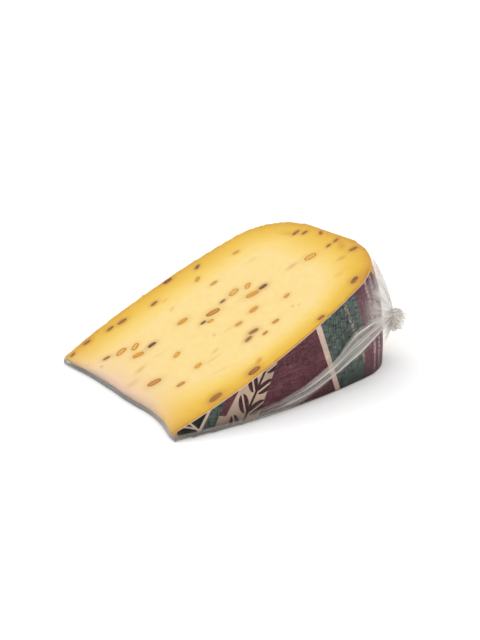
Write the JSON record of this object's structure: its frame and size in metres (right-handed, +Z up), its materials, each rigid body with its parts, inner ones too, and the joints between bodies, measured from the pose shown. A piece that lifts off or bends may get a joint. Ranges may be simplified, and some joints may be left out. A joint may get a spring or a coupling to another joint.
{
  "type": "wrapped wedge of seeded Gouda-type cheese",
  "caption": "Wedge of firm seeded wheel cheese lying on a cut face, with a printed paper label on the wheel's face and a cling film wrap gathered in a tuft.",
  "frame": {"origin": "middle of the whole part's underside, the film under the lower cut face", "axes": "+X from the wedge's tip to the wheel's rim, +Y from the labelled face to the wheel's other face, +Z up from the lower cut face"},
  "size_m": [0.1306, 0.1004, 0.0532],
  "materials": {
    "cheese": null,
    "label_paper": "printed coated paper in aubergine and dark green with beige lines",
    "cling_film": "clear stretch film, glossy",
    "seed": null
  },
  "bodies": {
    "root": {"cheese": "cheese", "label": "label_paper", "cling_film": "cling_film", "fenugreek_seed_01": "seed", "fenugreek_seed_02": "seed", "fenugreek_seed_03": "seed", "fenugreek_seed_04": "seed", "fenugreek_seed_05": "seed", "fenugreek_seed_06": "seed", "fenugreek_seed_07": "seed", "fenugreek_seed_08": "seed", "fenugreek_seed_09": "seed", "fenugreek_seed_10": "seed", "fenugreek_seed_11": "seed", "fenugreek_seed_12": "seed", "fenugreek_seed_13": "seed", "fenugreek_seed_14": "seed", "fenugreek_seed_15": "seed", "fenugreek_seed_16": "seed", "fenugreek_seed_17": "seed", "fenugreek_seed_18": "seed", "fenugreek_seed_19": "seed", "fenugreek_seed_20": "seed", "fenugreek_seed_21": "seed", "fenugreek_seed_22": "seed", "fenugreek_seed_23": "seed", "fenugreek_seed_24": "seed", "fenugreek_seed_25": "seed", "fenugreek_seed_26": "seed", "fenugreek_seed_27": "seed", "fenugreek_seed_28": "seed", "fenugreek_seed_29": "seed", "fenugreek_seed_30": "seed", "fenugreek_seed_31": "seed", "fenugreek_seed_32": "seed", "fenugreek_seed_33": "seed", "fenugreek_seed_34": "seed", "fenugreek_seed_35": "seed", "fenugreek_seed_36": "seed", "fenugreek_seed_37": "seed", "fenugreek_seed_38": "seed", "fenugreek_seed_39": "seed", "fenugreek_seed_40": "seed", "fenugreek_seed_41": "seed", "fenugreek_seed_42": "seed", "fenugreek_seed_43": "seed", "fenugreek_seed_44": "seed", "fenugreek_seed_45": "seed", "fenugreek_seed_46": "seed", "fenugreek_seed_47": "seed", "fenugreek_seed_48": "seed", "fenugreek_seed_49": "seed", "fenugreek_seed_50": "seed", "fenugreek_seed_51": "seed", "fenugreek_seed_52": "seed", "fenugreek_seed_53": "seed", "fenugreek_seed_54": "seed", "fenugreek_seed_55": "seed", "fenugreek_seed_56": "seed"}
  },
  "joints": []
}
